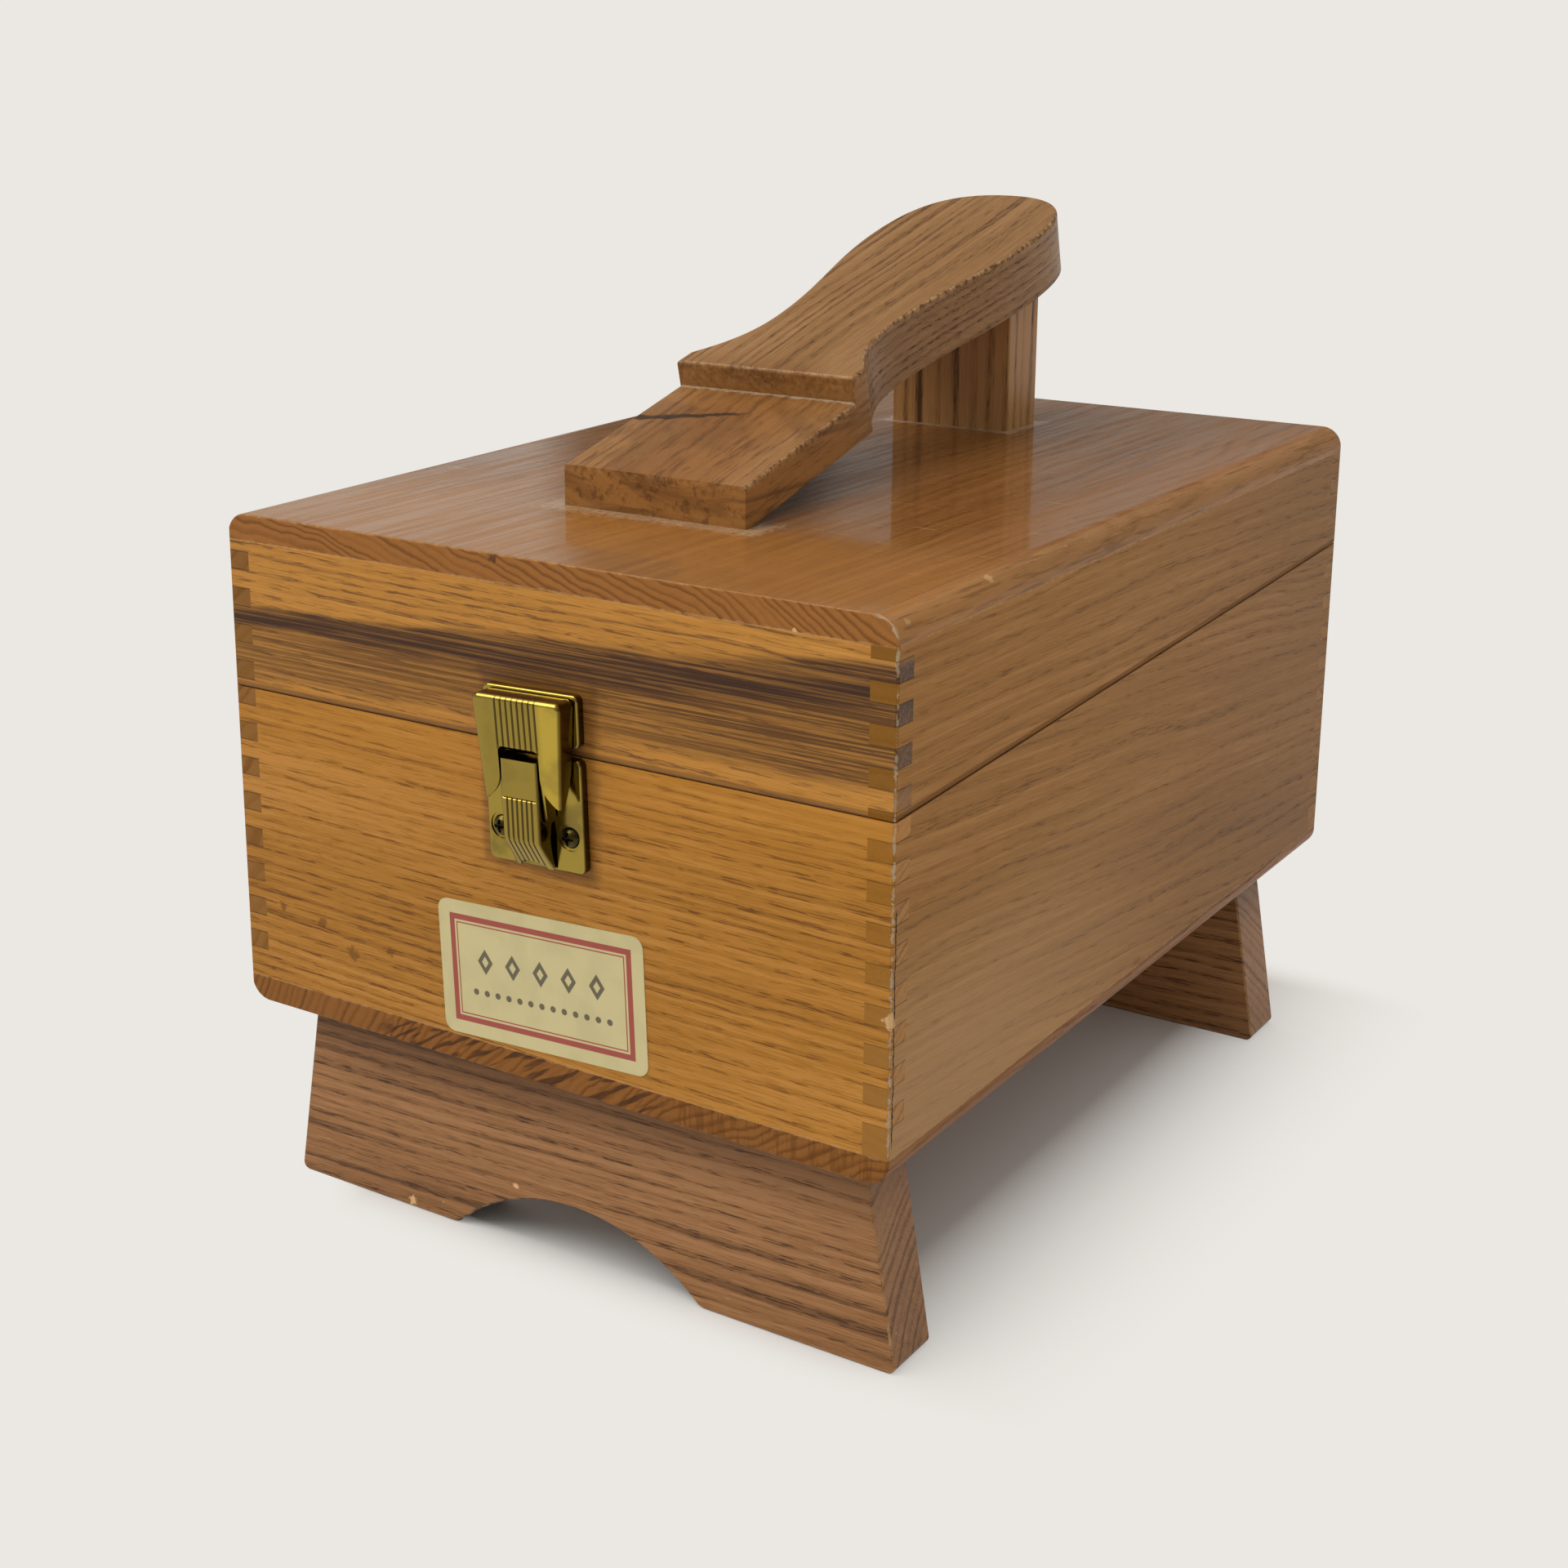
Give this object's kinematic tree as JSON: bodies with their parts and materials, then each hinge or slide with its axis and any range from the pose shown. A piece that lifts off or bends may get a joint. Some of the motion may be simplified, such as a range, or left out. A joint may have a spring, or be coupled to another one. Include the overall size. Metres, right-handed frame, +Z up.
{
  "type": "shoe shine box",
  "caption": "Wooden shoe shine box on arched feet: finger-jointed box and hinged lid with a sole-shaped foot rest on top and a brass draw latch in front.",
  "frame": {"origin": "middle of the bounding box's base, on the floor under the feet", "axes": "+X to the right of someone facing the latch, +Y to the rear (hinges), +Z up"},
  "size_m": [0.2286, 0.3326, 0.2976],
  "materials": {
    "oak_board": "varnished oak, fine dark streaks",
    "oak_panel": "varnished oak, glossy",
    "oak_foot": "varnished oak, darker and worn",
    "oak_rest": "varnished oak, worn by shoes",
    "brass": "lacquered, slightly tarnished",
    "screw_steel": "dull zinc",
    "label_foil": "printed foil, cream and gold"
  },
  "bodies": {
    "box": {"front_board": "oak_board", "rear_board": "oak_board", "left_board": "oak_board", "right_board": "oak_board", "bottom_panel": "oak_panel", "front_foot": "oak_foot", "rear_foot": "oak_foot", "foot_screws": "screw_steel", "front_label": "label_foil", "latch_base": "brass", "latch_base_screws": "brass", "lever_pin": "brass", "left_hinge_lower_leaf": "brass", "right_hinge_lower_leaf": "brass", "hinge_pins": "brass", "lower_leaf_screws": "brass"},
    "lid": {"lid_front_board": "oak_board", "lid_rear_board": "oak_board", "lid_left_board": "oak_board", "lid_right_board": "oak_board", "lid_top_panel": "oak_panel", "foot_rest": "oak_rest", "rest_post": "oak_rest", "rest_screws": "screw_steel", "strike_plate": "brass", "strike_screws": "brass", "left_hinge_upper_leaf": "brass", "right_hinge_upper_leaf": "brass", "upper_leaf_screws": "brass"},
    "lever": {"latch_lever": "brass", "hasp_pin": "brass"},
    "hasp": {"latch_hasp": "brass"}
  },
  "joints": [
    {"name": "lid_hinge", "type": "hinge", "parent": "box", "child": "lid", "pos_m": [0, 0.16391, 0.179], "axis": [-1, 0, 0], "range_deg": [0, 105]},
    {"name": "lever_pivot", "type": "hinge", "parent": "box", "child": "lever", "pos_m": [0.00093, -0.16259, 0.1625], "axis": [-0.9994, 0, -0.0349], "range_deg": [0, 95]},
    {"name": "hasp_pivot", "type": "hinge", "parent": "lever", "child": "hasp", "pos_m": [0.00139, -0.16179, 0.1493], "axis": [-0.9994, 0, -0.0349], "range_deg": [-110, 0]}
  ],
  "couplings": [
    {"joint": "hasp_pivot", "follows": "lever_pivot", "ratio": -1.15}
  ]
}
